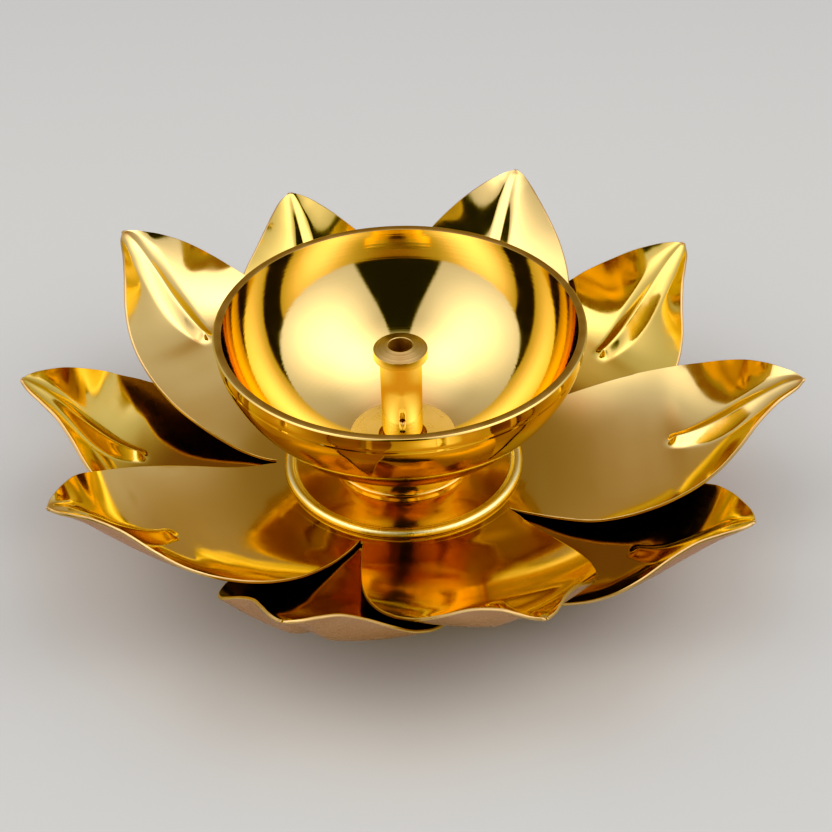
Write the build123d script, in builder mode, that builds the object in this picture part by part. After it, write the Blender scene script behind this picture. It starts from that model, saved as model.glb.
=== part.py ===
from build123d import *
from math import sqrt
import os

# Lotus oil lamp (kamal diya) in turned and stamped brass, held together by one bolt.
# Millimetres, +Z up.  The origin is the centre of the face the lamp stands on.

# ---- driving dimensions -----------------------------------------------------
base_height = 8.0          # standing ring, from the table to the lower petal sheet
base_radius = 19.0
base_foot_radius = 15.5    # inside of the narrow face it stands on
base_recess_radius = 14.0  # top of the hollow for the bolt head
base_foot_edge = 1.6       # straight edge above the table
base_waist = 17.0          # turned hollow round the ring
base_waist_z = 5.6
base_flange_radius = 18.2
base_flange_z = 6.4
sheet = 0.5                # brass sheet thickness of both petal layers
sheet_gap = 0.5            # spacer washer between the two layers
saucer_z = base_height + 2 * sheet + sheet_gap      # top of the upper sheet

petal_count = 5            # per layer
hub_radius = 21.2          # the slits between petals stop here
lower_turn = 36.0          # the lower layer is turned by half a petal

saucer_radius = 19.84      # outside of the rounded lip
saucer_edge = 0.5          # rounding under the lip
lip_height = 1.25
lip_width = 2.4
lip_foot = 0.65            # where the lip meets the dished floor
dish_radius = 14.8         # lowest ring of the dished floor
dish_height = 0.55
dish_end = 12.4
neck_radius = 11.8         # ring under the bowl
neck_seat = 0.8            # saucer floor the bowl stands on, above saucer_z

rim_radius = 29.5
rim_height = 27.6          # these heights are measured from saucer_z
rim_flat = 1.35            # width of the flat rim
floor_radius = 8.6         # flat turned disc inside the bowl
floor_height = 5.9
rim_chamfer = 0.2
neck_waist = 11.0
neck_foot = 0.4            # straight edge at the bottom of the neck
neck_hollow_start = 1.5
neck_hollow_end = 4.6      # the neck opens into the bowl above this
groove_height = 24.8       # fine turned line round the outside
groove_size = 0.55
recess_radius = 3.95       # countersink round the foot of the wick holder
recess_depth = 1.0

stem_radius = 3.3
stem_top_radius = 3.42
collar_radius = 4.4
collar_bottom = 21.5
collar_top = 22.9
holder_top = 23.75         # the collar rises in a low cone to the wick hole
wick_radius = 1.95
bore_chamfer = 0.1
collar_cove = 1.0          # the stem curves out into the collar over this height
inlet_height = 10.9
inlet_radius = 0.5

bolt_radius = 2.5          # M5 bolt that clamps the whole stack
bolt_hole = 2.75           # clearance hole through the stack
bolt_fit = 0.05            # running clearance inside the wick holder's socket
bolt_head_height = 3.5
bolt_head_flats = 8.0
bolt_head_z = 0.5
bolt_top = 9.6             # above saucer_z
bolt_tip_chamfer = 0.5
lock_washer_height = 1.2
lock_washer_radius = 4.4
lock_washer_split = 0.6
flat_washer_height = 0.8
flat_washer_radius = 6.0
spacer_radius = 12.0

# ---- petal shape ------------------------------------------------------------
# One row per cross-section of a petal, from the hub to the tip:
# distance from the axis, half width, edge height, middle height, rib height.
# Heights are measured from the flat top of the sheet's hub.
upper_rows = [
    (17.0, 12.2, 0.00, 0.00, 0.0),
    (19.0, 12.9, 0.00, 0.00, 0.0),
    (21.5, 13.7, 0.20, 0.00, 0.0),
    (25.0, 14.9, 0.90, 0.20, 0.0),
    (30.0, 16.2, 2.50, 1.05, 0.0),
    (35.0, 16.8, 4.50, 2.55, 0.0),
    (39.5, 16.6, 6.55, 4.35, 0.0),
    (42.5, 16.0, 8.05, 5.65, 0.0),
    (45.0, 15.3, 9.50, 6.55, 0.9),
    (48.0, 13.9, 11.40, 8.10, 1.1),
    (51.0, 11.8, 13.95, 10.40, 1.2),
    (54.0, 8.9, 16.80, 13.20, 1.1),
    (57.0, 5.6, 19.05, 16.20, 0.9),
    (59.5, 3.5, 20.00, 18.55, 0.6),
    (61.3, 2.0, 20.35, 19.80, 0.3),
    (62.5, 0.6, 20.65, 20.55, 0.1),
]
lower_rows = [
    (17.0, 12.2, 0.00, 0.00, 0.0),
    (19.0, 12.9, 0.00, 0.00, 0.0),
    (21.5, 14.0, 0.10, 0.00, 0.0),
    (25.0, 15.3, 0.25, 0.00, 0.0),
    (30.0, 16.6, 0.75, 0.20, 0.0),
    (35.0, 17.2, 2.05, 0.90, 0.0),
    (39.0, 17.1, 3.75, 1.95, 0.0),
    (42.0, 16.7, 5.30, 2.90, 0.0),
    (44.5, 16.0, 6.85, 3.75, 0.9),
    (47.0, 14.8, 8.65, 5.10, 1.1),
    (50.0, 12.3, 11.60, 7.80, 1.2),
    (52.5, 9.2, 14.60, 10.60, 1.1),
    (55.0, 6.3, 16.95, 13.55, 0.9),
    (57.5, 4.1, 18.25, 16.35, 0.6),
    (59.3, 2.4, 18.90, 18.10, 0.3),
    (60.8, 0.6, 19.50, 19.40, 0.1),
]
rib_half_width = 1.7
cup_power = 2.6            # a petal is flattest along its middle and curls up at its edges
spline_stations = [1.0, 0.86, 0.68, 0.45]    # shares of the half width, from the edge inward


def section_height(row, y):
    """Height of a petal's upper face at the distance y from its middle line."""
    x, half_width, edge, middle, rib = row
    rib_reach = min(rib_half_width, 0.6 * half_width)
    ridge = max(0.0, 1.0 - abs(y) / rib_reach)
    return middle + (edge - middle) * (abs(y) / half_width) ** cup_power + rib * ridge


def section_points(rows, index, below):
    """Points across one petal section; below=True gives the underside."""
    row = rows[index]
    before = rows[max(index - 1, 0)]
    after = rows[min(index + 1, len(rows) - 1)]
    half_width = row[1]
    rib_reach = min(rib_half_width, 0.6 * half_width)
    ys = [-half_width * s for s in spline_stations if half_width * s > 1.3 * rib_reach]
    ys += [-1.15 * rib_reach, -0.5 * rib_reach]
    ys = ys + [0.0] + [-y for y in reversed(ys)]
    points = []
    for y in ys:
        z = section_height(row, y)
        if below:
            slope = (after[3] - before[3]) / (after[0] - before[0])
            z -= sheet * sqrt(1 + slope ** 2)
        points.append((y, z))
    return points


def petal_section(rows, index):
    """Plane of one cross-section, looking outward along the petal."""
    return Plane(origin=(rows[index][0], 0, 0), x_dir=(0, 1, 0), z_dir=(1, 0, 0))


os.makedirs("parts", exist_ok=True)

# ---- standing ring ----------------------------------------------------------
web = base_height - bolt_head_z - bolt_head_height - lock_washer_height - flat_washer_height
with BuildPart() as base_ring:
    with BuildSketch(Plane.XZ):
        with BuildLine():
            Polyline(
                (bolt_hole, base_height - web),
                (base_recess_radius, base_height - web),
                (base_foot_radius, 0.0),
                (base_radius, 0.0),
                (base_radius, base_foot_edge),
            )
            ThreePointArc(
                (base_radius, base_foot_edge),
                (base_waist + 0.6, (base_foot_edge + base_waist_z) / 2 - 0.2),
                (base_waist, base_waist_z),
            )
            Polyline(
                (base_waist, base_waist_z),
                (base_flange_radius, base_flange_z),
                (base_flange_radius, base_height),
                (bolt_hole, base_height),
                (bolt_hole, base_height - web),
            )
        make_face()
    revolve(axis=Axis.Z)
base_ring.part.label = "base_ring"
export_step(base_ring.part, "parts/base_ring.step")

# ---- clamping bolt and its washers ------------------------------------------
with BuildPart() as clamp_bolt:
    with BuildSketch(Plane.XY.offset(bolt_head_z)):
        RegularPolygon(radius=bolt_head_flats / 2, side_count=6, major_radius=False)
    extrude(amount=bolt_head_height)
    with BuildSketch(Plane.XY.offset(bolt_head_z)):
        Circle(bolt_radius)
    extrude(amount=saucer_z + bolt_top - bolt_head_z)
    chamfer(clamp_bolt.faces().sort_by(Axis.Z)[-1].edges(), bolt_tip_chamfer)
clamp_bolt.part.label = "clamp_bolt"
export_step(clamp_bolt.part, "parts/clamp_bolt.step")

lock_washer_z = bolt_head_z + bolt_head_height
with BuildPart() as lock_washer:
    with BuildSketch(Plane.XY.offset(lock_washer_z)):
        Circle(lock_washer_radius)
        Circle(bolt_hole, mode=Mode.SUBTRACT)
        with Locations((lock_washer_radius, 0)):
            Rectangle(lock_washer_radius, lock_washer_split, mode=Mode.SUBTRACT)
    extrude(amount=lock_washer_height)
lock_washer.part.label = "lock_washer"
export_step(lock_washer.part, "parts/lock_washer.step")

flat_washer_z = lock_washer_z + lock_washer_height
with BuildPart() as flat_washer:
    with BuildSketch(Plane.XY.offset(flat_washer_z)):
        Circle(flat_washer_radius)
        Circle(bolt_hole, mode=Mode.SUBTRACT)
    extrude(amount=flat_washer_height)
flat_washer.part.label = "flat_washer"
export_step(flat_washer.part, "parts/flat_washer.step")


# ---- petal sheets -----------------------------------------------------------
def build_petal(rows):
    with BuildPart() as petal:
        for index in range(len(rows)):
            top = section_points(rows, index, below=False)
            bottom = section_points(rows, index, below=True)
            with BuildSketch(petal_section(rows, index)):
                with BuildLine():
                    Spline(*top)
                    Line(top[-1], bottom[-1])
                    Spline(*reversed(bottom))
                    Line(bottom[0], top[0])
                make_face()
        loft()
    return petal.part


def build_sheet(rows, hub_top, turn):
    petal = build_petal(rows)
    with BuildPart() as sheet_part:
        with BuildSketch(Plane.XY.offset(hub_top - sheet)):
            Circle(hub_radius)
        extrude(amount=sheet)
        with Locations((0, 0, hub_top)):
            with PolarLocations(0, petal_count, start_angle=turn):
                add(petal)
        with BuildSketch(Plane.XY.offset(hub_top), Plane.XY.offset(hub_top - 2 * sheet)):
            Circle(hub_radius - 0.2)
        extrude(amount=sheet, mode=Mode.SUBTRACT)
        with BuildSketch(Plane.XY.offset(hub_top - 2 * sheet)):
            Circle(bolt_hole)
        extrude(amount=3 * sheet, mode=Mode.SUBTRACT)
    return sheet_part.part


lower_top = base_height + sheet
petals_lower = build_sheet(lower_rows, lower_top, lower_turn)
petals_lower.label = "petals_lower"
export_step(petals_lower, "parts/petals_lower.step")

with BuildPart() as sheet_spacer:
    with BuildSketch(Plane.XY.offset(lower_top)):
        Circle(spacer_radius)
        Circle(bolt_hole, mode=Mode.SUBTRACT)
    extrude(amount=sheet_gap)
sheet_spacer.part.label = "sheet_spacer"
export_step(sheet_spacer.part, "parts/sheet_spacer.step")

petals_upper = build_sheet(upper_rows, saucer_z, 0.0)
petals_upper.label = "petals_upper"
export_step(petals_upper, "parts/petals_upper.step")

# ---- saucer under the bowl --------------------------------------------------
with BuildPart() as saucer:
    with BuildSketch(Plane.XZ):
        with BuildLine():
            lip_in = saucer_radius - lip_width
            Line((bolt_hole, saucer_z), (saucer_radius - saucer_edge, saucer_z))
            RadiusArc(
                (saucer_radius - saucer_edge, saucer_z),
                (saucer_radius, saucer_z + saucer_edge),
                -saucer_edge,
            )
            ThreePointArc(
                (saucer_radius, saucer_z + saucer_edge),
                (saucer_radius - lip_width / 2, saucer_z + lip_height),
                (lip_in, saucer_z + lip_foot),
            )
            ThreePointArc(
                (lip_in, saucer_z + lip_foot),
                (dish_radius, saucer_z + dish_height),
                (dish_end, saucer_z + neck_seat),
            )
            Line((dish_end, saucer_z + neck_seat), (bolt_hole, saucer_z + neck_seat))
            Line((bolt_hole, saucer_z + neck_seat), (bolt_hole, saucer_z))
        make_face()
    revolve(axis=Axis.Z)
saucer.part.label = "saucer"
export_step(saucer.part, "parts/saucer.step")

# ---- oil bowl ---------------------------------------------------------------
# radius and height above saucer_z; the inside is close to a sphere
outside = [(12.2, 6.2), (16.4, 8.25), (19.9, 10.8), (22.6, 13.4), (26.4, 18.2), (28.7, 22.9)]
inside = [(27.4, 24.4), (25.5, 19.4), (23.2, 15.65), (20.2, 12.25), (16.4, 9.3), (12.4, 7.25)]
flare_start = (outside[0][0], saucer_z + outside[0][1])
rim_edge = (rim_radius, saucer_z + rim_height - rim_chamfer)
rim_inner = (rim_radius - rim_flat, saucer_z + rim_height)
with BuildPart() as bowl:
    with BuildSketch(Plane.XZ):
        with BuildLine():
            seat = saucer_z + neck_seat
            Line((bolt_hole, seat), (neck_radius, seat))
            Line((neck_radius, seat), (neck_radius, seat + neck_foot))
            ThreePointArc(
                (neck_radius, seat + neck_foot),
                (neck_waist + 0.2, seat + 2 * neck_foot),
                (neck_waist, seat + neck_hollow_start),
            )
            Line((neck_waist, seat + neck_hollow_start), (neck_waist, saucer_z + neck_hollow_end))
            ThreePointArc(
                (neck_waist, saucer_z + neck_hollow_end),
                (neck_waist + 0.35, saucer_z + neck_hollow_end + 0.9),
                flare_start,
            )
            Spline(*[(r, saucer_z + z) for r, z in outside], rim_edge)
            Polyline(rim_edge, (rim_radius - rim_chamfer, saucer_z + rim_height), rim_inner)
            Spline(
                rim_inner,
                *[(r, saucer_z + z) for r, z in inside],
                (floor_radius, saucer_z + floor_height),
            )
            floor_z = saucer_z + floor_height
            Polyline(
                (floor_radius, floor_z),
                (recess_radius, floor_z),
                (recess_radius, floor_z - recess_depth),
                (bolt_hole, floor_z - recess_depth),
                (bolt_hole, seat),
            )
        make_face()
    revolve(axis=Axis.Z)
    with BuildSketch(Plane.XZ):
        with Locations((rim_radius, saucer_z + groove_height)):
            RegularPolygon(radius=groove_size, side_count=4)
    revolve(axis=Axis.Z, mode=Mode.SUBTRACT)
bowl.part.label = "bowl"
export_step(bowl.part, "parts/bowl.step")

# ---- wick holder, screwed down on the bolt ----------------------------------
holder_foot = saucer_z + floor_height - recess_depth
socket_top = saucer_z + inlet_height - inlet_radius - 0.2
with BuildPart() as wick_holder:
    with BuildSketch(Plane.XZ):
        with BuildLine():
            Polyline(
                (bolt_radius + bolt_fit, holder_foot),
                (stem_radius, holder_foot),
                (stem_top_radius, saucer_z + collar_bottom - collar_cove),
            )
            ThreePointArc(
                (stem_top_radius, saucer_z + collar_bottom - collar_cove),
                (stem_top_radius + 0.3, saucer_z + collar_bottom - 0.3),
                (collar_radius, saucer_z + collar_bottom),
            )
            Polyline(
                (collar_radius, saucer_z + collar_bottom),
                (collar_radius, saucer_z + collar_top),
                (wick_radius + bore_chamfer, saucer_z + holder_top),
                (wick_radius, saucer_z + holder_top - bore_chamfer),
                (wick_radius, socket_top),
                (bolt_radius + bolt_fit, socket_top),
                (bolt_radius + bolt_fit, holder_foot),
            )
        make_face()
    revolve(axis=Axis.Z)
    with BuildSketch(Plane.XZ):
        with Locations((0, saucer_z + inlet_height)):
            Circle(inlet_radius)
    extrude(amount=2 * stem_radius, mode=Mode.SUBTRACT)
wick_holder.part.label = "wick_holder"
export_step(wick_holder.part, "parts/wick_holder.step")
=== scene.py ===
from math import cos, pi, radians, sin

import bpy
import numpy as np
from mathutils import Matrix, Vector


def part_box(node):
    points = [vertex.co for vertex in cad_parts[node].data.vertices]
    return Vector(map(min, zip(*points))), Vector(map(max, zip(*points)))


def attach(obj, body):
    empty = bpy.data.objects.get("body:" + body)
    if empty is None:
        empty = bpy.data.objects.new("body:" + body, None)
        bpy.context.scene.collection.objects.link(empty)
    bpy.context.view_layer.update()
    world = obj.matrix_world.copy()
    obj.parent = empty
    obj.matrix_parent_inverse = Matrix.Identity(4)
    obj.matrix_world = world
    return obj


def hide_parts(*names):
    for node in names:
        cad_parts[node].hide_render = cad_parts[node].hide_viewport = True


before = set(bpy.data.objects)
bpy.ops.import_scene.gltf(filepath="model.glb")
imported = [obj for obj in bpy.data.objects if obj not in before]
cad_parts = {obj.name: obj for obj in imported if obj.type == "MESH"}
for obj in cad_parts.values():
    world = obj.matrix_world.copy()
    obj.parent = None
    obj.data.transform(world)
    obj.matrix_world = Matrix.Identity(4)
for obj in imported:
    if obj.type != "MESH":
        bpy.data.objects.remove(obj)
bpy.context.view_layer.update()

# ---------------------------------------------------------------------------
# Shared sizes.  Shapes are in mm, their heights from the top of the upper
# petal sheet; the scene itself is in metres.
# ---------------------------------------------------------------------------
MM = 0.001
TURN_STEPS = 256                 # facets round a turned piece
SHEET = 0.5                      # thickness of the petal sheets
BOLT_HOLE = 2.75                 # radius of the hole through sheets, saucer and bowl
SAUCER_TOP = 0.8                 # the saucer's middle, where the bowl stands
SEAT_HEIGHT = 4.9                # floor of the recess that takes the wick holder

axis_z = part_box("saucer")[0].z / MM              # top of the upper petal sheet
lower_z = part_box("sheet_spacer")[0].z / MM       # top of the lower petal sheet


# ---------------------------------------------------------------------------
# Curves and meshes
# ---------------------------------------------------------------------------
def through(rows, count):
    """Smooth curve through the table rows, sampled count times (Catmull-Rom)."""
    table = np.array(rows, float)
    last = len(table) - 1
    place = np.linspace(0, last, count)
    index = np.minimum(place.astype(int), last - 1)
    t = (place - index)[:, None]
    p0 = table[np.maximum(index - 1, 0)]
    p1 = table[index]
    p2 = table[index + 1]
    p3 = table[np.minimum(index + 2, last)]
    curve = 2 * p1 + (p2 - p0) * t + (2 * p0 - 5 * p1 + 4 * p2 - p3) * t ** 2
    return (curve + (3 * p1 - p0 - 3 * p2 + p3) * t ** 3) / 2


def smooth_step(value, low, high):
    """0 up to low, 1 from high on, and a soft rise between them."""
    t = np.clip((value - low) / (high - low), 0, 1)
    return t * t * (3 - 2 * t)


def unit(vectors):
    """The same vectors at length 1."""
    return vectors / np.maximum(np.linalg.norm(vectors, axis=-1, keepdims=True), 1e-9)


def arc(centre, radius, start, end, steps=8):
    """Points of a circular arc in a profile, angles in degrees."""
    points = []
    for k in range(steps + 1):
        angle = radians(start + (end - start) * k / steps)
        points.append((centre[0] + radius * cos(angle), centre[1] + radius * sin(angle)))
    return points


def add_ring(vertices, faces, profile, steps=TURN_STEPS):
    """Turns a closed profile of (radius, height) points round the axis."""
    first = len(vertices)
    count = len(profile)
    for k in range(steps):
        angle = 2 * pi * k / steps
        for r, z in profile:
            vertices.append((r * cos(angle), r * sin(angle), z))
    for k in range(steps):
        here = first + k * count
        there = first + (k + 1) % steps * count
        for j in range(count):
            after = (j + 1) % count
            faces.append((here + j, there + j, there + after, here + after))


def make_piece(name, vertices, faces, marks, materials, sharp_angle=None):
    """A smooth shaded object; marks gives each face the number of its material."""
    mesh = bpy.data.meshes.new(name)
    mesh.from_pydata([tuple(c * MM for c in v) for v in vertices], [], faces)
    mesh.update()
    for material in materials:
        mesh.materials.append(material)
    mesh.polygons.foreach_set("material_index", np.array(marks, np.int32))
    mesh.polygons.foreach_set("use_smooth", np.ones(len(faces), bool))
    if sharp_angle is not None:
        mesh.set_sharp_from_angle(angle=radians(sharp_angle))
    mesh.update()
    piece = bpy.data.objects.new(name, mesh)
    bpy.context.scene.collection.objects.link(piece)
    return piece


def turned_piece(name, sections, node, body, sharp_angle=35):
    """sections is a list of (points, material); together they close one profile."""
    profile = []
    marks = []
    materials = []
    for points, material in sections:
        if material not in materials:
            materials.append(material)
        for r, z in points:
            profile.append((r, axis_z + z))
            marks.append(materials.index(material))
    vertices = []
    faces = []
    add_ring(vertices, faces, profile)
    piece = make_piece(name, vertices, faces, marks * TURN_STEPS, materials, sharp_angle=sharp_angle)
    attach(piece, body)
    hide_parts(node)
    return piece


# ---------------------------------------------------------------------------
# Shader nodes
# ---------------------------------------------------------------------------
class Tree:
    """Adds and links the nodes of one shader."""

    def __init__(self, tree, shader):
        self.tree = tree
        self.shader = tree.nodes[shader]

    def add(self, kind, inputs=None, **settings):
        node = self.tree.nodes.new(kind)
        for key, value in settings.items():
            setattr(node, key, value)
        for key, value in (inputs or {}).items():
            self.feed(node.inputs[key], value)
        return node

    def feed(self, socket, value):
        """Links value to the socket if it is a socket too, and sets it there if it is a constant."""
        if isinstance(value, bpy.types.NodeSocket):
            self.tree.links.new(value, socket)
        else:
            socket.default_value = value

    def link(self, output, socket):
        self.tree.links.new(output, self.shader.inputs[socket])

    def math(self, operation, first, second=0.0, third=0.0):
        inputs = {0: first, 1: second, 2: third}
        return self.add("ShaderNodeMath", inputs, operation=operation).outputs[0]

    def step(self, value, low, high, start=0.0, end=1.0):
        """Soft change from start, at low, to end, at high."""
        inputs = {"Value": value, "From Min": low, "From Max": high, "To Min": start, "To Max": end}
        return self.add("ShaderNodeMapRange", inputs, interpolation_type="SMOOTHSTEP").outputs["Result"]

    def mix(self, share, first, second):
        """Colour between first and second, each a colour or a socket."""
        node = self.add("ShaderNodeMix", {"Factor": share}, data_type="RGBA")
        colors = [socket for socket in node.inputs if socket.type == "RGBA"]
        self.feed(colors[0], first)
        self.feed(colors[1], second)
        return [socket for socket in node.outputs if socket.type == "RGBA"][0]

    def ramp(self, value, first, second, start=0.0, end=1.0):
        """Colour that runs from first, at start, to second, at end."""
        node = self.add("ShaderNodeValToRGB", {"Fac": value})
        low, high = node.color_ramp.elements
        low.position = start
        low.color = first
        high.position = end
        high.color = second
        return node.outputs["Color"]

    def noise(self, place, scale, detail, **settings):
        inputs = {"Vector": place, "Scale": scale, "Detail": detail}
        return self.add("ShaderNodeTexNoise", inputs, **settings).outputs["Fac"]

    def place(self):
        """The point being shaded, in the piece's own metres."""
        return self.add("ShaderNodeTexCoord").outputs["Object"]

    def split(self, place):
        return self.add("ShaderNodeSeparateXYZ", {"Vector": place}).outputs

    def radius(self, place):
        """Distance from the lamp's axis."""
        flat = self.add("ShaderNodeVectorMath", {0: place, 1: (1.0, 1.0, 0.0)}, operation="MULTIPLY")
        length = self.add("ShaderNodeVectorMath", {0: flat.outputs["Vector"]}, operation="LENGTH")
        return length.outputs["Value"]


class Surface(Tree):
    """A new material and its nodes."""

    def __init__(self, name):
        self.material = bpy.data.materials.new(name)
        self.material.use_nodes = True
        super().__init__(self.material.node_tree, "Principled BSDF")


# ---------------------------------------------------------------------------
# Brass
# ---------------------------------------------------------------------------
EDGE_TINT = (0.97, 0.84, 0.45)       # colour of the polished metal seen almost edge on
DRIFT_SCALE = 55.0                   # slow drift of the colour
BLOTCH_SCALE = 420.0                 # finer drift of the gloss
NOISE_RANGE = (0.3, 0.7)             # the part of a noise that is used
LEAST_ROUGHNESS = 0.02
COAT_ROUGHNESS = 0.06
SCRATCH_SCALE = (900.0, 90.0, 300.0)
SCRATCH_LEAN = (0.3, 0.5, 0.9)
SCRATCH_DEPTH = 0.002 * MM           # of the finest polish
GRAIN_DEPTH = 0.02 * MM              # added for each unit of grain
LINE_SCALE = 2600.0
LINE_DEPTH = 0.006 * MM              # for each unit of turned


def brass_tone(nodes, place, color, dark):
    drift = nodes.noise(place, DRIFT_SCALE, 4.0)
    return nodes.ramp(drift, (*dark, 1), (*color, 1), *NOISE_RANGE)


def paint_hub_shade(nodes, place, tone, hub_shade, lean):
    """Painted shade: darkens the metal near the hub, as the docstring of brass says."""
    inner, outer, color = hub_shade
    reach = nodes.math("MULTIPLY_ADD", nodes.split(place)["Y"], lean, nodes.radius(place))
    return nodes.mix(nodes.step(reach, inner * MM, outer * MM), (*color, 1), tone)


def gloss(nodes, place, roughness, spread):
    blotch = nodes.noise(place, BLOTCH_SCALE, 3.0)
    inputs = {"Value": blotch, "From Min": NOISE_RANGE[0], "From Max": NOISE_RANGE[1],
              "To Min": max(LEAST_ROUGHNESS, roughness - spread), "To Max": roughness + spread}
    nodes.link(nodes.add("ShaderNodeMapRange", inputs).outputs["Result"], "Roughness")


def relief(nodes, place, turned, grain):
    """Fine scratches, with turning lines over them where the piece was turned."""
    inputs = {"Vector": place, "Scale": SCRATCH_SCALE, "Rotation": SCRATCH_LEAN}
    slanted = nodes.add("ShaderNodeMapping", inputs).outputs["Vector"]
    scratch = nodes.noise(slanted, 1.0, 2.0)
    depth = SCRATCH_DEPTH + GRAIN_DEPTH * grain
    bump = nodes.add("ShaderNodeBump", {"Height": scratch, "Distance": depth, "Strength": 1.0})
    if turned:
        inputs = {"X": nodes.radius(place), "Y": nodes.split(place)["Z"]}
        ring = nodes.add("ShaderNodeCombineXYZ", inputs).outputs["Vector"]
        lines = nodes.noise(ring, LINE_SCALE, 3.0, noise_dimensions="2D")
        inputs = {"Height": lines, "Distance": LINE_DEPTH * turned, "Strength": 1.0,
                  "Normal": bump.outputs["Normal"]}
        bump = nodes.add("ShaderNodeBump", inputs)
    nodes.link(bump.outputs["Normal"], "Normal")


def brass(name, color, dark, roughness, spread, turned=0.0, grain=0.0, coat=0.05, anisotropic=0.0,
          hub_shade=None, lean=0.0, edge=EDGE_TINT):
    """Polished brass: colour and gloss drift slowly, with fine scratches or turning lines.

    The hub shade, when given, is (radius, radius, color), painted shade: inside the first
    radius, in mm, the metal is darkened to that color, and past the second it keeps its own tone.
    A lean above 0 makes the painted shade reach further out at the front than at the back."""
    nodes = Surface(name)
    place = nodes.place()
    tone = brass_tone(nodes, place, color, dark)
    if hub_shade:
        tone = paint_hub_shade(nodes, place, tone, hub_shade, lean)
    nodes.link(tone, "Base Color")
    gloss(nodes, place, roughness, spread)
    relief(nodes, place, turned, grain)
    shader = nodes.shader.inputs
    shader["Metallic"].default_value = 1.0
    shader["Specular Tint"].default_value = (*edge, 1)
    shader["Coat Weight"].default_value = coat
    shader["Coat Roughness"].default_value = COAT_ROUGHNESS
    if anisotropic:
        shader["Anisotropic"].default_value = anisotropic
        tangent = nodes.add("ShaderNodeTangent", direction_type="RADIAL", axis="Z")
        nodes.link(tangent.outputs["Tangent"], "Tangent")
    return nodes.material


GOLD = (0.86, 0.63, 0.24)
GOLD_DARK = (0.81, 0.575, 0.20)


# painted shade: the upper petals are darkened between 20 and 38 mm from the axis, round the saucer and under
# the bowl
def petal_polished():
    return brass("petal_polished", color=GOLD, dark=GOLD_DARK, roughness=0.10, spread=0.025,
                 grain=0.05, hub_shade=(20, 38, (0.57, 0.40, 0.14)))


# painted shade: this lower sheet is browner than the upper one and darkened towards the hub, further out at
# the front, where the upper sheet shades it
def petal_polished_browner():
    return brass("petal_polished_browner", color=(0.81, 0.59, 0.15), dark=(0.74, 0.51, 0.12),
                 roughness=0.11, spread=0.03, grain=0.1, hub_shade=(38, 48, (0.34, 0.18, 0.06)), lean=0.35)


# painted shade: near the hub, inside 34 to 50 mm, the underside is darkened almost to black, where it lies
# between the two sheets
def petal_underside():
    return brass("petal_underside", color=(0.60, 0.37, 0.23), dark=(0.50, 0.29, 0.17),
                 roughness=0.26, spread=0.05, grain=0.3, coat=0.0,
                 hub_shade=(34, 50, (0.17, 0.09, 0.05)), edge=(1.0, 0.82, 0.70))


def petal_cut_edge():
    return brass("petal_cut_edge", color=(0.75, 0.5, 0.2), dark=(0.5, 0.3, 0.1),
                 roughness=0.35, spread=0.1, grain=1.0, coat=0.0)


def bowl_polished():
    return brass("bowl_polished", color=GOLD, dark=GOLD_DARK, roughness=0.06, spread=0.02, turned=0.6)


def bowl_outside():
    return brass("bowl_outside", color=(0.70, 0.49, 0.15), dark=(0.64, 0.43, 0.12),
                 roughness=0.07, spread=0.02, turned=0.6)


# painted reflection: the neck's deep orange colour stands in for light bounced onto it from the brass round
# it
def neck_turned():
    return brass("neck_turned", color=(0.72, 0.44, 0.13), dark=(0.66, 0.38, 0.10),
                 roughness=0.12, spread=0.03, turned=0.4)


def rim_unpolished():
    return brass("rim_unpolished", color=(0.50, 0.33, 0.13), dark=(0.34, 0.21, 0.08),
                 roughness=0.36, spread=0.08, turned=4.0, coat=0.0)


def disc_turned():
    return brass("disc_turned", color=(0.9, 0.7, 0.25), dark=(0.8, 0.6, 0.2),
                 roughness=0.3, spread=0.05, turned=3.0, coat=0.1, anisotropic=0.6)


def saucer_polished():
    return brass("saucer_polished", color=(0.72, 0.48, 0.13), dark=(0.66, 0.43, 0.11),
                 roughness=0.14, spread=0.03, turned=0.8)


# painted highlight: the lip's pale yellow colour stands in for the softbox's highlight along its top
def lip_turned():
    return brass("lip_turned", color=(0.90, 0.78, 0.36), dark=(0.80, 0.66, 0.28),
                 roughness=0.30, spread=0.05, turned=2.0, grain=1.5)


def holder_polished():
    return brass("holder_polished", color=GOLD, dark=GOLD_DARK, roughness=0.045, spread=0.02, turned=0.5)


def holder_top_turned():
    return brass("holder_top_turned", color=(0.64, 0.44, 0.17), dark=(0.42, 0.27, 0.09),
                 roughness=0.34, spread=0.08, turned=8.0, coat=0.0)


def wick_hole_rough():
    return brass("wick_hole_rough", color=(0.85, 0.55, 0.22), dark=(0.55, 0.3, 0.1),
                 roughness=0.5, spread=0.1, grain=6.0, coat=0.0)


def ring_polished():
    return brass("ring_polished", color=(0.9, 0.68, 0.25), dark=(0.8, 0.56, 0.18),
                 roughness=0.14, spread=0.04, turned=1.5)


def bolt_plated():
    """Plated steel, by the same recipe as the brass."""
    return brass("bolt_plated", color=(0.6, 0.58, 0.54), dark=(0.5, 0.47, 0.42),
                 roughness=0.3, spread=0.08, grain=0.6, coat=0.0)


petal_brass = petal_polished()
lower_brass = petal_polished_browner()
under_brass = petal_underside()
edge_brass = petal_cut_edge()
bowl_brass = bowl_polished()
outside_brass = bowl_outside()
neck_brass = neck_turned()
rim_brass = rim_unpolished()
disc_brass = disc_turned()
saucer_brass = saucer_polished()
lip_brass = lip_turned()
holder_brass = holder_polished()
holder_top = holder_top_turned()
hole_brass = wick_hole_rough()
ring_brass = ring_polished()
steel = bolt_plated()

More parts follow.
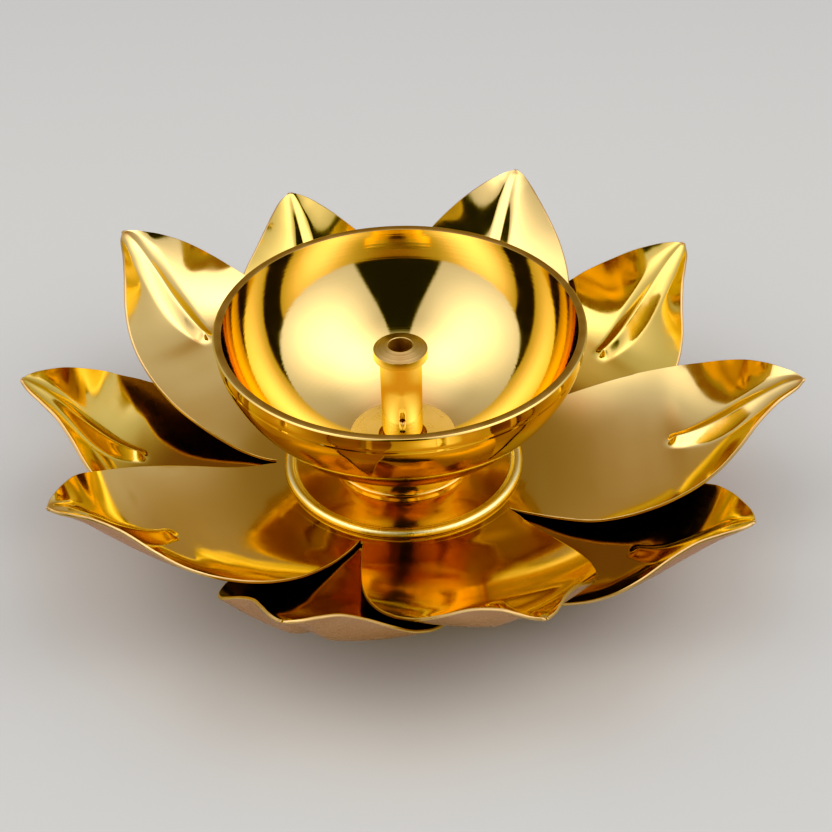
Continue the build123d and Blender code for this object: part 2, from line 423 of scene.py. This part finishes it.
# ---------------------------------------------------------------------------
# Petal layers.  A row of a petal's shape: distance from the axis, half width,
# edge height, valley height and rib height, above the flat top of the hub.
# ---------------------------------------------------------------------------
UPPER_ROWS = [
    (16.0, 11.5, 0.00, 0.00, 0.0),
    (18.5, 12.8, 0.00, 0.00, 0.0),
    (21.5, 13.8, 0.20, 0.00, 0.0),
    (25.0, 14.9, 0.90, 0.15, 0.0),
    (30.0, 16.2, 2.50, 1.05, 0.0),
    (35.0, 16.8, 4.50, 2.55, 0.0),
    (39.5, 16.6, 6.55, 4.30, 0.2),
    (43.0, 15.9, 8.35, 5.70, 0.9),
    (46.0, 14.9, 10.10, 6.55, 1.4),
    (49.0, 13.3, 12.15, 8.10, 1.7),
    (52.0, 10.9, 14.85, 10.40, 1.8),
    (55.0, 7.7, 17.75, 13.35, 1.8),
    (58.0, 4.8, 19.55, 16.50, 1.4),
    (60.0, 3.2, 20.10, 18.60, 0.9),
    (61.6, 1.9, 20.40, 19.95, 0.4),
    (62.5, 0.7, 20.60, 20.50, 0.1),
    (62.7, 0.1, 20.65, 20.60, 0.0),
]
LOWER_ROWS = [
    (16.0, 11.5, 0.00, 0.00, 0.0),
    (18.5, 12.9, 0.05, 0.00, 0.0),
    (21.5, 14.1, 0.15, 0.00, 0.0),
    (25.0, 15.3, 0.25, 0.00, 0.0),
    (30.0, 16.6, 0.70, 0.15, 0.0),
    (35.0, 17.2, 2.05, 0.80, 0.0),
    (39.0, 17.2, 3.75, 1.80, 0.2),
    (42.5, 16.6, 5.60, 2.85, 0.9),
    (45.0, 15.8, 7.20, 3.60, 1.2),
    (47.5, 14.4, 9.05, 4.90, 1.5),
    (50.0, 12.3, 11.60, 7.00, 1.7),
    (52.5, 9.1, 14.55, 9.60, 1.8),
    (55.0, 6.3, 16.90, 12.60, 1.7),
    (57.5, 4.1, 18.20, 15.70, 1.2),
    (59.3, 2.5, 18.90, 17.70, 0.7),
    (60.5, 1.0, 19.30, 19.05, 0.2),
    (60.8, 0.1, 19.45, 19.35, 0.0),
]

# Each petal was bent a little differently by hand: azimuth, sideways turn, lift and roll,
# in degrees, then how strongly its rib was pressed.
UPPER_TURN = -2.2
UPPER_PETALS = [
    (0, 0.2, -4.5, 3.0, 1.0),
    (72, -0.8, 0.0, -0.5, 0.4),
    (144, -0.5, 1.2, 3.2, 1.0),
    (216, 0.2, 1.1, -0.5, 0.9),
    (288, 1.0, -0.2, -1.1, 0.9),
]
LOWER_TURN = 0.5
LOWER_PETALS = [
    (36, -1.4, 1.0, 1.6, 1.0),
    (108, -0.1, -1.4, -0.2, 0.5),
    (180, -0.6, 1.1, -0.9, 1.0),
    (252, 1.0, 1.4, 0.0, 0.9),
    (324, 1.0, -4.3, 0.8, 0.9),
]

CROWDING = 0.72                # how far a petal's columns crowd towards its rib and edges
SECTION_POWER = (3.0, 2.0)     # curve of the cross section, near the hub and near the tip
SECTION_CHANGE = (34.0, 50.0)  # distances from the axis between which the curve changes
UPPER_RIB_START = 43.6
LOWER_RIB_START = 43.0
RIB_RAMP = 0.9                 # the rib rises over this much to either side of its start
RIB_LEAD = 1.0                 # it starts to widen this much before its start
RIB_GROWN = 8.0                # and has its full width this much after it
RIB_HALF_WIDTH = (1.5, 3.0)    # at the start and when full
RIB_SHARE = 0.62               # largest share of the petal's half width, near the tip
RIB_WEAKEST = 0.25             # share of its width that a rib keeps if it is barely pressed
RIB_CREST = 0.28               # how far the crest is rounded off
RIB_FOOT = 1.25                # above 1 the foot of the rib runs out softly
RIB_SMOOTHED = 0.75            # share of the rib in the surface that the thickness is measured from
BEND_FROM = 18.0               # the hand bending of each petal starts here
BEND_OVER = 14.0               # and is complete this much further out
HUB_RADIUS = 21.2
HUB_SKIN = 0.02                # the hub stands this much proud of the petals it joins
EDGE_LOOPS = ((0.36, 0.06), (0.0, 0.09), (-0.36, 0.06))   # share of the thickness, bulge
UPPER_FACE = 0                 # material numbers of a petal's faces
CUT_EDGE = 1
UNDERSIDE = 2


def petal_grid(rows, rib_start, pressed, along=112, across=82):
    """Upper face of one petal as an (along, across, 3) grid, x outward.

    pressed is the share of its full height that the rib got, and it narrows the rib too."""
    stations = through(rows, along)
    steps = np.linspace(-1, 1, across + 1)
    crowded = np.abs(steps) - CROWDING * np.sin(2 * pi * np.abs(steps)) / (2 * pi)
    side = (np.sign(steps) * crowded)[None, :]
    x, half_width, edge, valley, rib = [column[:, None] for column in stations.T]
    y = half_width * side
    power = SECTION_POWER[0] + (SECTION_POWER[1] - SECTION_POWER[0]) * smooth_step(x, *SECTION_CHANGE)
    height = valley + (edge - valley) * np.abs(side) ** power
    grown = smooth_step(x, rib_start - RIB_LEAD, rib_start + RIB_GROWN)
    reach = RIB_HALF_WIDTH[0] + (RIB_HALF_WIDTH[1] - RIB_HALF_WIDTH[0]) * grown
    reach = np.minimum(reach, RIB_SHARE * half_width) * (RIB_WEAKEST + (1 - RIB_WEAKEST) * pressed)
    from_crest = np.sqrt(y ** 2 + RIB_CREST ** 2) - RIB_CREST
    ridge = np.clip(1 - from_crest / reach, 0, 1) ** RIB_FOOT
    height = height + rib * pressed * ridge * smooth_step(x, rib_start - RIB_RAMP, rib_start + RIB_RAMP)
    return np.stack([x + 0 * y, y, height], axis=-1)


def bend(points, lift, roll):
    """Hand bending of a petal: lift turns it up about the hub, roll twists it."""
    share = smooth_step(points[..., 0:1], BEND_FROM, BEND_FROM + BEND_OVER)
    bent = points.copy()
    c = cos(radians(roll))
    s = sin(radians(roll))
    bent[..., 1] = c * points[..., 1] - s * points[..., 2]
    bent[..., 2] = s * points[..., 1] + c * points[..., 2]
    c = cos(radians(lift))
    s = sin(radians(lift))
    out = bent[..., 0] - BEND_FROM
    up = bent[..., 2].copy()
    bent[..., 0] = BEND_FROM + c * out - s * up
    bent[..., 2] = s * out + c * up
    return points + (bent - points) * share


def petal_shell(rows, rib_start, pressed):
    """Upper and lower face of one petal of sheet metal."""
    top = petal_grid(rows, rib_start, pressed)
    smoothed = [(x, width, edge, valley + RIB_SMOOTHED * rib, 0.0) for x, width, edge, valley, rib in rows]
    smooth = petal_grid(smoothed, rib_start, pressed)
    normal = unit(np.cross(np.gradient(smooth, axis=0), np.gradient(smooth, axis=1)))
    return top, top - SHEET * normal


def loop_of(grid):
    """The outline of a grid, from its hub corner round the tip and back."""
    return np.concatenate([grid[:, 0], grid[-1, 1:-1], grid[::-1, -1]])


def rounded_edge(upper_loop, lower_loop):
    """Loops of points that round the cut edge between the two faces."""
    middle = (upper_loop + lower_loop) / 2
    thick = upper_loop - lower_loop
    outward = unit(np.cross(np.gradient(middle, axis=0), thick))
    return [middle + thick * share + outward * bulge for share, bulge in EDGE_LOOPS]


def add_petal(vertices, faces, marks, top, low):
    """Joins the two faces of a petal by a rounded cut edge."""
    first = len(vertices)
    edge = rounded_edge(loop_of(top), loop_of(low))
    vertices.extend(np.concatenate([top.reshape(-1, 3), low.reshape(-1, 3)] + edge).tolist())

    upper_ids = first + np.arange(top.shape[0] * top.shape[1]).reshape(top.shape[:2])
    lower_ids = upper_ids + upper_ids.size
    above = upper_ids.tolist()
    below = lower_ids.tolist()
    for i in range(top.shape[0] - 1):
        for j in range(top.shape[1] - 1):
            faces.append((above[i][j], above[i + 1][j], above[i + 1][j + 1], above[i][j + 1]))
            faces.append((below[i][j], below[i][j + 1], below[i + 1][j + 1], below[i + 1][j]))
            marks.extend([UPPER_FACE, UNDERSIDE])

    count = len(edge[0])
    first_edge = first + 2 * upper_ids.size
    chains = [loop_of(upper_ids).tolist()]
    for k in range(len(edge)):
        chains.append(list(range(first_edge + k * count, first_edge + (k + 1) * count)))
    chains.append(loop_of(lower_ids).tolist())
    for upper, lower in zip(chains[:-1], chains[1:]):
        for k in range(count - 1):
            faces.append((upper[k], lower[k], lower[k + 1], upper[k + 1]))
            marks.append(CUT_EDGE)


def petal_layer(name, rows, rib_start, petals, layer_turn, hub_z, face_material, node, body):
    """One pressed sheet: five petals and the flat hub that joins them."""
    vertices = []
    faces = []
    marks = []
    for azimuth, sideways, lift, roll, pressed in petals:
        spin = np.array(Matrix.Rotation(radians(azimuth + layer_turn + sideways), 3, "Z"))
        top, low = petal_shell(rows, rib_start, pressed)
        top = bend(top, lift, roll) @ spin.T + (0, 0, hub_z)
        low = bend(low, lift, roll) @ spin.T + (0, 0, hub_z)
        add_petal(vertices, faces, marks, top, low)
    hub_low = hub_z - SHEET - HUB_SKIN
    hub_high = hub_z + HUB_SKIN
    hub = [(BOLT_HOLE, hub_low), (HUB_RADIUS, hub_low), (HUB_RADIUS, hub_high), (BOLT_HOLE, hub_high)]
    add_ring(vertices, faces, hub)
    marks.extend([UPPER_FACE] * (len(faces) - len(marks)))
    piece = make_piece(name, vertices, faces, marks, [face_material, edge_brass, under_brass], sharp_angle=50)
    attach(piece, body)
    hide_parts(node)
    return piece


petal_layer("lotus_upper", UPPER_ROWS, UPPER_RIB_START, UPPER_PETALS, UPPER_TURN, axis_z,
            petal_brass, "petals_upper", "upper_layer")
petal_layer("lotus_lower", LOWER_ROWS, LOWER_RIB_START, LOWER_PETALS, LOWER_TURN, lower_z,
            lower_brass, "petals_lower", "lower_layer")

# ---------------------------------------------------------------------------
# Bowl
# ---------------------------------------------------------------------------
FOOT_RADIUS = 11.6
FOOT_EDGE = 0.2                    # rounding of the foot's edge
NECK_RADIUS = 11.0
NECK_HEIGHTS = (3.0, 4.6)          # the neck is straight between these
NECK_HOLLOW = 0.9                  # radius of the hollow between foot and neck
NECK_HOLLOW_HEIGHT = 2.3
NECK_FLARE = 1.0                   # radius at which the neck flares into the bowl
OUTSIDE = [(12.2, 6.2), (16.4, 8.25), (19.9, 10.8), (22.6, 13.4), (26.4, 18.2), (28.7, 22.9), (29.5, 27.35)]
GROOVE_HEIGHT = 24.9               # a fine turned line round the outside
GROOVE_DEPTH = 0.025
GROOVE_WIDTH = 0.3
RIM_CORNER = (29.36, 27.55)        # eased corner between the outside and the rim's flat
RIM_RADII = (28.3, 29.25)
RIM_HEIGHT = 27.6
INSIDE_CENTRE = (2.21, 31.31)      # the inside is turned to one arc
INSIDE_RADIUS = 26.2
INSIDE_ANGLES = (-8.3, -75.8)
CURVE_POINTS = 70                  # along the outside, and along the inside
DISC_RADIUS = 8.6                  # flat disc in the bottom of the bowl
DISC_HEIGHT = 5.9
SEAT_RADIUS = 3.95                 # recess in the disc that takes the wick holder
SEAT_EDGE = 0.05                   # eased edges of the recess


def bowl_foot():
    """The foot on the saucer, the hollow above it, the neck and its flare."""
    flat = [(BOLT_HOLE, SAUCER_TOP), (FOOT_RADIUS, SAUCER_TOP)]
    edge = arc((FOOT_RADIUS, SAUCER_TOP + FOOT_EDGE), FOOT_EDGE, -90, 0, 4)
    hollow = arc((NECK_RADIUS + NECK_HOLLOW, NECK_HOLLOW_HEIGHT), NECK_HOLLOW, 250, 180)
    neck = [(NECK_RADIUS, height) for height in NECK_HEIGHTS]
    flare = arc((NECK_RADIUS + NECK_FLARE, NECK_HEIGHTS[1]), NECK_FLARE, 180, 118)
    return flat + edge + hollow + neck + flare


def bowl_side():
    """The outside of the bowl, with its groove."""
    side = []
    for r, z in through(OUTSIDE, CURVE_POINTS)[1:]:
        if abs(z - GROOVE_HEIGHT) > GROOVE_WIDTH:
            side.append((r, z))
        elif side[-1][1] < GROOVE_HEIGHT:
            side.append((r, GROOVE_HEIGHT - GROOVE_WIDTH / 2))
            side.append((r - GROOVE_DEPTH, GROOVE_HEIGHT))
            side.append((r, GROOVE_HEIGHT + GROOVE_WIDTH / 2))
    return side + [RIM_CORNER]


def bowl_seat():
    """The recess in the disc, down to the bolt's hole."""
    return [(SEAT_RADIUS, DISC_HEIGHT - SEAT_EDGE), (SEAT_RADIUS, SEAT_HEIGHT + SEAT_EDGE),
            (SEAT_RADIUS - SEAT_EDGE, SEAT_HEIGHT), (BOLT_HOLE, SEAT_HEIGHT)]


bowl_sections = [
    (bowl_foot(), neck_brass),
    (bowl_side(), outside_brass),
    ([(RIM_RADII[1], RIM_HEIGHT), (RIM_RADII[0], RIM_HEIGHT)], rim_brass),
    (arc(INSIDE_CENTRE, INSIDE_RADIUS, *INSIDE_ANGLES, CURVE_POINTS), bowl_brass),
    ([(DISC_RADIUS, DISC_HEIGHT), (SEAT_RADIUS + SEAT_EDGE, DISC_HEIGHT)], disc_brass),
    (bowl_seat(), hole_brass),
]
turned_piece("oil_bowl", bowl_sections, "bowl", "lamp")

# ---------------------------------------------------------------------------
# Saucer
# ---------------------------------------------------------------------------
SAUCER_LOW = 0.03                  # a hair above the petals' hub, which is on another body
SAUCER_RADIUS = 19.3
SAUCER_EDGE = (19.36, 0.42)        # centre of the rounded outer edge
SAUCER_EDGE_RADIUS = 0.39
LIP_CENTRE = (18.85, 0.3)
LIP_RADIUS = 0.9
LIP_ANGLES = (12, 152)
DISH = [(17.7, 0.6), (16.6, 0.5), (15.6, 0.46), (14.4, 0.48), (13.2, 0.6), (12.1, 0.78)]
DISH_INNER = 11.9
DISH_POINTS = 30                   # along the dish


def saucer_underside():
    flat = [(BOLT_HOLE, SAUCER_LOW), (SAUCER_RADIUS, SAUCER_LOW)]
    return flat + arc(SAUCER_EDGE, SAUCER_EDGE_RADIUS, -80, 0, 6)


def saucer_dish():
    """The shallow dish inside the lip and the flat middle under the bowl."""
    dish = [tuple(point) for point in through(DISH, DISH_POINTS)]
    return dish + [(DISH_INNER, SAUCER_TOP), (BOLT_HOLE, SAUCER_TOP)]


saucer_sections = [
    (saucer_underside(), saucer_brass),
    (arc(LIP_CENTRE, LIP_RADIUS, *LIP_ANGLES, 24), lip_brass),
    (saucer_dish(), saucer_brass),
]
turned_piece("lamp_saucer", saucer_sections, "saucer", "lamp", sharp_angle=60)

# ---------------------------------------------------------------------------
# Wick holder
# ---------------------------------------------------------------------------
SOCKET_RADIUS = 2.55               # the bolt's socket in the foot
SOCKET_TOP = 10.2
WICK_RADIUS = 1.95                 # the wick's bore above it
POST_FOOT = 3.15
POST_EDGE = 0.15                   # rounding of the foot's and the collar's lower edges
STEM = [(3.3, 8.0), (3.36, 14.0), (3.42, 20.3)]
COLLAR_FLARE = (4.3, 20.6)         # centre of the arc from the stem to the collar
COLLAR_FLARE_RADIUS = 0.88
COLLAR_LOW = (4.2, 21.45)
COLLAR_EDGE = (4.25, 21.6)         # centre of the rounding of the collar's lower edge
COLLAR_RADIUS = 4.4
COLLAR_HEIGHTS = (22.0, 22.8)      # the collar's side is straight between these
TURNED_TOP = [(4.33, 22.93), (3.4, 23.25), (2.3, 23.6), (2.08, 23.68)]
BORE_TOP = (23.6, 23.0)            # the bore's mouth, and a point just below it for even shading
INLET_HEIGHT = 10.9                # a small hole low in the stem lets the oil in
INLET_RADIUS = 0.5
INLET_FROM = 4.0                   # distances from the axis between which it is drilled
INLET_TO = 0.5


def post_outside():
    """Foot, stem and collar of the wick holder."""
    foot = [(SOCKET_RADIUS, SEAT_HEIGHT), (POST_FOOT, SEAT_HEIGHT)]
    edge = arc((POST_FOOT, SEAT_HEIGHT + POST_EDGE), POST_EDGE, -90, 0, 3)
    flare = arc(COLLAR_FLARE, COLLAR_FLARE_RADIUS, 180, 118)
    collar = [COLLAR_LOW] + arc(COLLAR_EDGE, POST_EDGE, -70, 0, 3)
    return foot + edge + STEM + flare + collar + [(COLLAR_RADIUS, height) for height in COLLAR_HEIGHTS]


def post_bore():
    """The wick's bore, down to the bolt's socket."""
    bore = [(WICK_RADIUS, height) for height in BORE_TOP]
    return bore + [(WICK_RADIUS, SOCKET_TOP), (SOCKET_RADIUS, SOCKET_TOP)]


def drill(piece, height, radius, outer, inner, steps=24):
    """A round hole into the front of the piece, from the outer to the inner distance."""
    vertices = []
    faces = []
    for y in (-outer, -inner):
        for k in range(steps):
            angle = 2 * pi * k / steps
            vertices.append((radius * cos(angle), y, axis_z + height + radius * sin(angle)))
    for k in range(steps):
        after = (k + 1) % steps
        faces.append((k, steps + k, steps + after, after))
    faces.append(tuple(range(steps)))
    faces.append(tuple(reversed(range(steps, 2 * steps))))
    cutter = make_piece("cutter", vertices, faces, [0] * len(faces), [hole_brass])
    cut = piece.modifiers.new("hole", "BOOLEAN")
    cut.object = cutter
    cut.solver = "EXACT"
    with bpy.context.temp_override(object=piece, active_object=piece):
        bpy.ops.object.modifier_apply(modifier=cut.name)
    bpy.data.objects.remove(cutter)


holder_sections = [
    (post_outside(), holder_brass),
    (TURNED_TOP, holder_top),
    (post_bore(), hole_brass),
]
post = turned_piece("wick_post", holder_sections, "wick_holder", "holder", sharp_angle=40)
drill(post, INLET_HEIGHT, INLET_RADIUS, INLET_FROM, INLET_TO)

# ---------------------------------------------------------------------------
# Ring, spacer, bolt and washers: the CAD nodes keep their shape and get a finish
# ---------------------------------------------------------------------------
CARRIED_OVER = {"base_ring": ring_brass, "sheet_spacer": ring_brass, "clamp_bolt": steel,
                "flat_washer": steel, "lock_washer": steel}
for node, material in CARRIED_OVER.items():
    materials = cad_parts[node].data.materials
    materials.clear()
    materials.append(material)

# ---------------------------------------------------------------------------
# Floor
# ---------------------------------------------------------------------------
FLOOR_REACH = 6.0                          # metres to each side
# painted shade: the paper darkens from its near colour to its far one, as the light falls off towards the
# back
PAPER_NEAR = (0.530, 0.538, 0.530, 1)
PAPER_FAR = (0.375, 0.386, 0.395, 1)
PAPER_FADE = 0.45                          # metres behind the lamp at which it is darkest
PAPER_ROUGHNESS = 0.9
GLOW = (0.64, 0.565, 0.46, 1)              # warm light that the brass throws on the paper
GLOW_RADII = (0.030, 0.075)                # full inside the first, gone past the second


def floor_paper():
    """Matt paper, with painted shade that darkens it towards the back and painted warm light close to the
    lamp.
    """
    nodes = Surface("floor_paper")
    place = nodes.place()
    shade = nodes.ramp(nodes.step(nodes.split(place)["Y"], 0.0, PAPER_FADE), PAPER_NEAR, PAPER_FAR)
    glow = nodes.step(nodes.radius(place), *GLOW_RADII, 1.0, 0.0)
    nodes.link(nodes.mix(glow, shade, GLOW), "Base Color")
    nodes.shader.inputs["Roughness"].default_value = PAPER_ROUGHNESS
    return nodes.material


floor_mesh = bpy.data.meshes.new("floor")
corners = [(-FLOOR_REACH, -FLOOR_REACH, 0), (FLOOR_REACH, -FLOOR_REACH, 0),
           (FLOOR_REACH, FLOOR_REACH, 0), (-FLOOR_REACH, FLOOR_REACH, 0)]
floor_mesh.from_pydata(corners, [], [(0, 1, 2, 3)])
floor = bpy.data.objects.new("floor", floor_mesh)
bpy.context.scene.collection.objects.link(floor)
floor.data.materials.append(floor_paper())

# ---------------------------------------------------------------------------
# Studio light, painted on the world by direction.  Angles are in degrees: azimuth
# is 0 straight behind the lamp and 180 at the camera, elevation is 0 at the floor.
# ---------------------------------------------------------------------------
WALL_LIGHT = (0.38, 0.70)        # straight behind the lamp, and at the sides
WALL_AZIMUTH = (5, 60)
TOP_LIGHT = 0.6                  # added overhead
TOP_ELEVATION = (46, 74)
BOX_LIGHT = (1.7, 2.0)           # left and right softbox
BOX_AZIMUTH = ((45, 105), (110, 168))      # each box brightens over the first, fades over the second
BOX_ELEVATION = ((-5, 50), (55, 95))
GAP_AZIMUTH = (148.0, 169.0)     # edge of the dark gap, low down and high up
GAP_SLANT = (-20, 75)            # elevations between which that edge moves
GAP_SOFTNESS = 1.5
GAP_TOP = (56, 66)               # the gap closes between these elevations
GAP_DARKNESS = 0.97
WALL_TINT = (1.0, 0.71, 0.62, 1)           # the wall straight behind is a warm brown
BOX_TINT = (1.0, 0.99, 0.98, 1)
TINT_AZIMUTH = (6, 52)


class Sky(Tree):
    """The world's light by direction."""

    def __init__(self, tree):
        super().__init__(tree, "Background")
        direction = self.split(self.add("ShaderNodeTexCoord").outputs["Generated"])
        self.side = self.math("DEGREES", self.math("ARCTAN2", direction["X"], direction["Y"]))
        self.azimuth = self.math("ABSOLUTE", self.side)
        self.elevation = self.math("DEGREES", self.math("ARCSINE", direction["Z"]))

    def window(self, value, rise, fall):
        return self.math("MULTIPLY", self.step(value, *rise), self.step(value, *fall, 1.0, 0.0))

    def wall(self):
        """Dim wall behind the lamp, brighter towards the sides and overhead."""
        wall = self.step(self.azimuth, *WALL_AZIMUTH, *WALL_LIGHT)
        return self.math("ADD", wall, self.step(self.elevation, *TOP_ELEVATION, 0.0, TOP_LIGHT))

    def softboxes(self):
        """Two big softboxes, left and right, reaching over the lamp."""
        boxes = self.math("MULTIPLY", self.window(self.azimuth, *BOX_AZIMUTH),
                          self.window(self.elevation, *BOX_ELEVATION))
        return self.math("MULTIPLY", boxes, self.step(self.side, -90, 90, *BOX_LIGHT))

    def outside_gap(self):
        """1, and almost 0 in the dark gap between the softboxes, where the camera stands."""
        edge = self.step(self.elevation, *GAP_SLANT, *GAP_AZIMUTH)
        inside = self.step(self.math("SUBTRACT", self.azimuth, edge), -GAP_SOFTNESS, GAP_SOFTNESS)
        gap = self.math("MULTIPLY", inside, self.step(self.elevation, *GAP_TOP, 1.0, 0.0))
        return self.math("SUBTRACT", 1.0, self.math("MULTIPLY", gap, GAP_DARKNESS))


world = bpy.data.worlds.new("studio")
bpy.context.scene.world = world
world.use_nodes = True
sky = Sky(world.node_tree)
light = sky.math("ADD", sky.wall(), sky.softboxes())
sky.link(sky.math("MULTIPLY", light, sky.outside_gap()), "Strength")
sky.link(sky.mix(sky.step(sky.azimuth, *TINT_AZIMUTH), WALL_TINT, BOX_TINT), "Color")

# ---------------------------------------------------------------------------
# Camera: placed by matching the circles of the rim, saucer and collar in perspective
# ---------------------------------------------------------------------------
CAMERA = Vector((-0.19, -247.4, axis_z + 199.4)) * MM
PITCH = radians(37.54)
YAW = radians(-0.56)
ROLL = radians(-1.37)
FOCAL_WIDTHS = 2.2947            # focal length over the frame's width
SENSOR_WIDTH = 36                # mm
NEAREST = 0.01                   # clipping distance, m

# The camera's response, as (tone, shown tone): mid and light tones stay straight,
# the darkest tones fall away, and blue falls away most.
ALL_TONES = ((0.02, 0.012), (0.06, 0.05), (0.15, 0.15), (0.5, 0.5))
BLUE_TONES = ((0.012, 0.002), (0.03, 0.014), (0.06, 0.05), (0.12, 0.125), (0.5, 0.5))


def camera_turn():
    """The camera's rotation from its pitch, yaw and roll."""
    forward = Vector((-sin(YAW) * cos(PITCH), cos(YAW) * cos(PITCH), -sin(PITCH)))
    right = Vector((cos(YAW), sin(YAW), 0))
    up = right.cross(forward)
    rolled_right = right * cos(ROLL) + up * sin(ROLL)
    rolled_up = up * cos(ROLL) - right * sin(ROLL)
    return Matrix((rolled_right, rolled_up, -forward)).transposed()


def bend_curve(curve, points):
    for tone, shown in points:
        curve.points.new(tone, shown)


camera_data = bpy.data.cameras.new("camera")
camera_data.sensor_width = SENSOR_WIDTH
camera_data.lens = SENSOR_WIDTH * FOCAL_WIDTHS
camera_data.clip_start = NEAREST
camera = bpy.data.objects.new("camera", camera_data)
bpy.context.scene.collection.objects.link(camera)
camera.matrix_world = Matrix.Translation(CAMERA) @ camera_turn().to_4x4()
bpy.context.scene.camera = camera

view = bpy.context.scene.view_settings
view.view_transform = "Standard"
view.use_curve_mapping = True
_, _, blue, all_tones = view.curve_mapping.curves
bend_curve(all_tones, ALL_TONES)
bend_curve(blue, BLUE_TONES)
view.curve_mapping.update()
